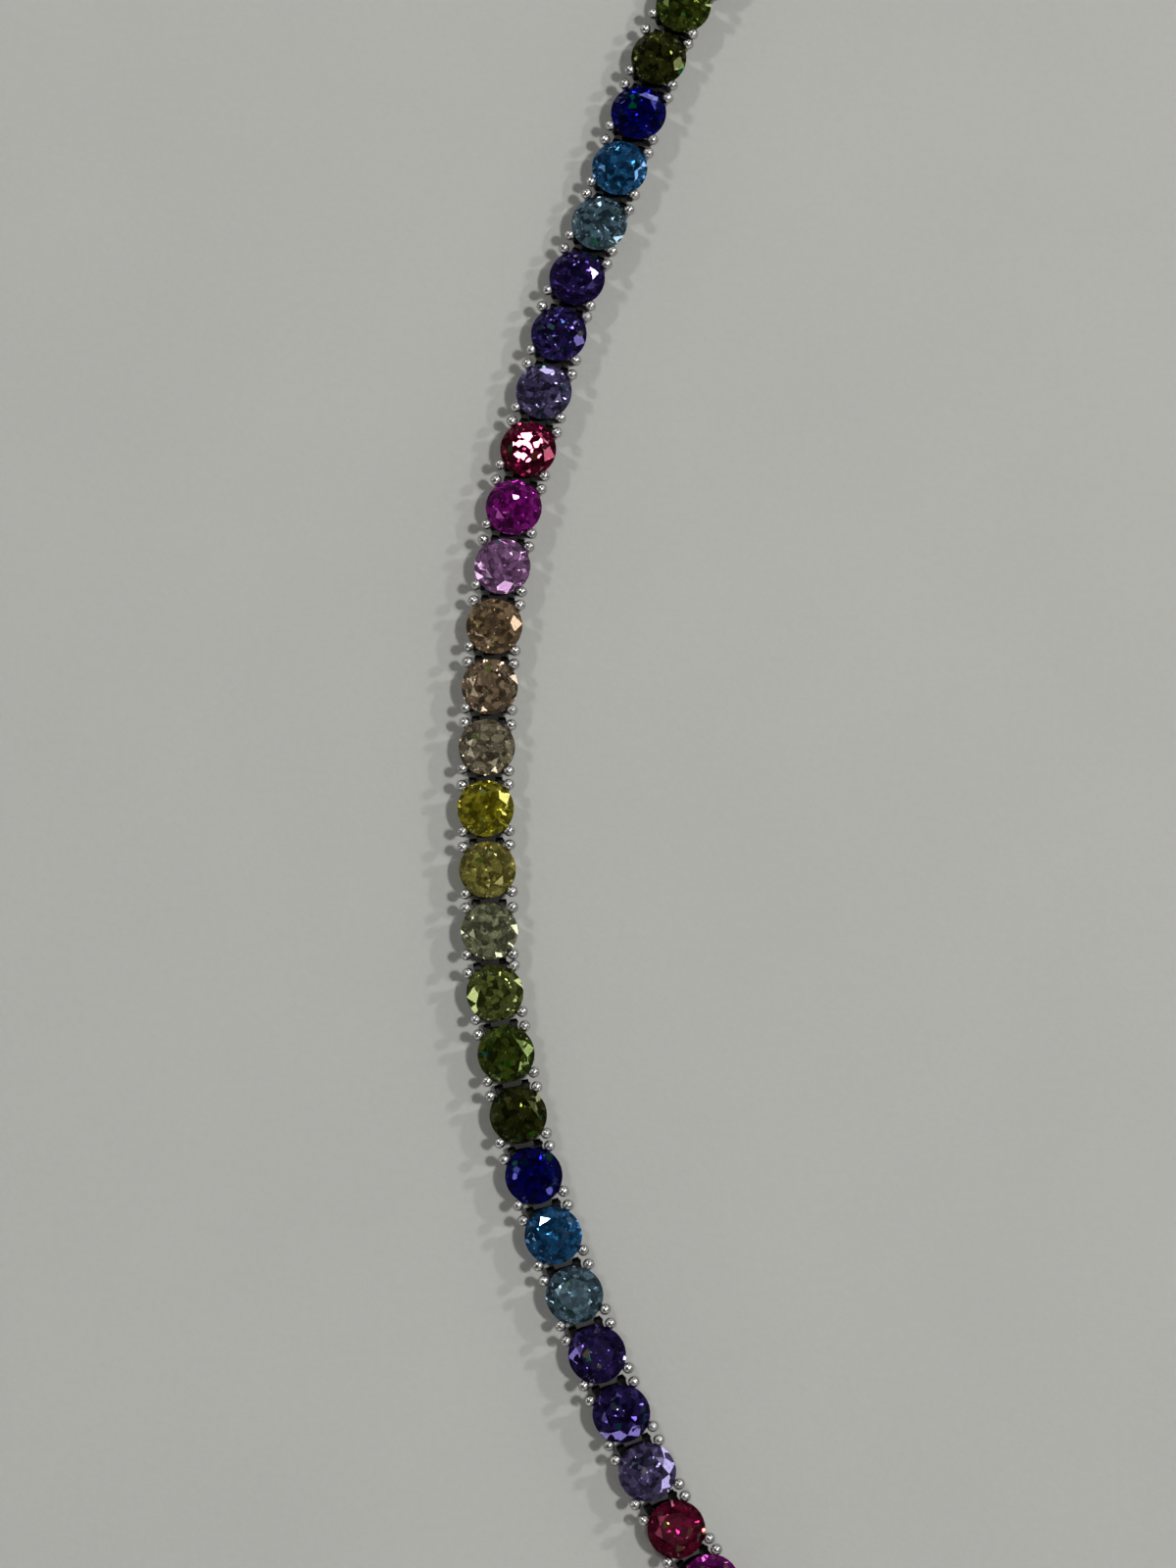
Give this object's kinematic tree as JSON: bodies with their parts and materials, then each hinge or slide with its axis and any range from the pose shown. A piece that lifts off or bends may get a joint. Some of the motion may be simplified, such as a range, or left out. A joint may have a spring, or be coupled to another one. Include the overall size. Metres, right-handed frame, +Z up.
{
  "type": "tennis bracelet",
  "caption": "Slim bracelet: a closed row of round faceted stones in claw-set links with a box clasp, lying flat with the stones up.",
  "frame": {"origin": "on the surface that the bracelet lies on, under the middle of its outline", "axes": "+Z up, the side that the stones face; +Y along the longer side of the loop; the clasp is on the +X side"},
  "size_m": [0.0468, 0.0722, 0.0014],
  "materials": {
    "coloured_stones": "polished cut stones in a row of many colours, fused here to their polished white metal settings",
    "polished_metal": "polished white metal"
  },
  "bodies": {
    "root": {"stone_chain_1": "coloured_stones", "stone_chain_2": "coloured_stones", "box_clasp": "polished_metal"}
  },
  "joints": []
}
